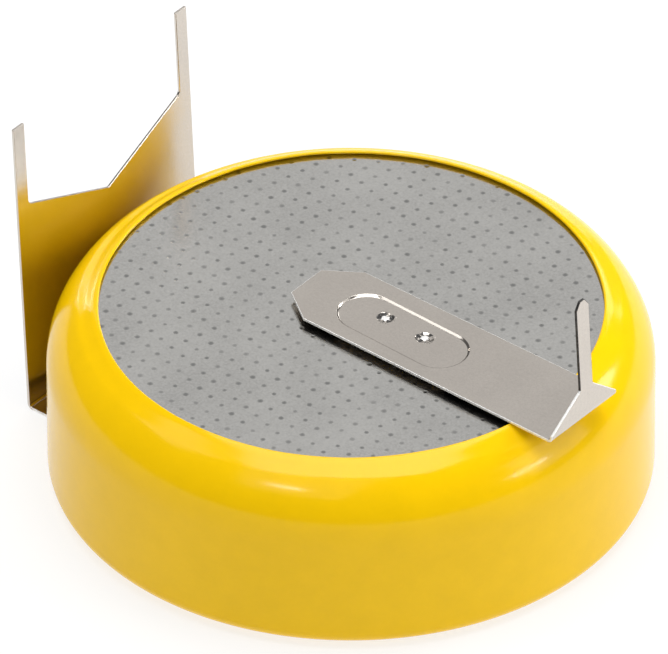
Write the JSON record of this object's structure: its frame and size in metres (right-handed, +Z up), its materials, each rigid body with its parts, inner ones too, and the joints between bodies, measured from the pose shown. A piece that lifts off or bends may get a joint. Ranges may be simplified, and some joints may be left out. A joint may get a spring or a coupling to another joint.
{
  "type": "lithium coin cell",
  "caption": "Round lithium coin cell in a yellow shrunk sleeve, with flat solder pins standing on welded sheet-metal tabs.",
  "frame": {"origin": "on the cell's axis, in the plane that the part rests on, at the underside of the positive tab", "axes": "+Z up, out of the negative cap and along the pins; +X along the negative tab, so the positive tab's plate stands at -X; the part is symmetric about the XZ plane"},
  "size_m": [0.0257, 0.0248, 0.0139],
  "materials": {
    "can_steel": "bright nickel-plated steel",
    "cap_steel": "satin steel with small dark dimples",
    "gasket_plastic": "dark polypropylene",
    "ring_steel": "plain steel",
    "cathode_mix": "pressed black powder",
    "separator_cloth": "white non-woven cloth",
    "lithium": "soft dull silver metal",
    "sleeve_film": "glossy yellow shrunk film",
    "tab_nickel": "satin nickel-plated sheet, warm grey"
  },
  "bodies": {
    "root": {"can": "can_steel", "cap": "cap_steel", "gasket": "gasket_plastic", "cathode_ring": "ring_steel", "cathode": "cathode_mix", "separator": "separator_cloth", "anode": "lithium", "sleeve": "sleeve_film", "positive_tab": "tab_nickel", "negative_tab": "tab_nickel"}
  },
  "joints": []
}
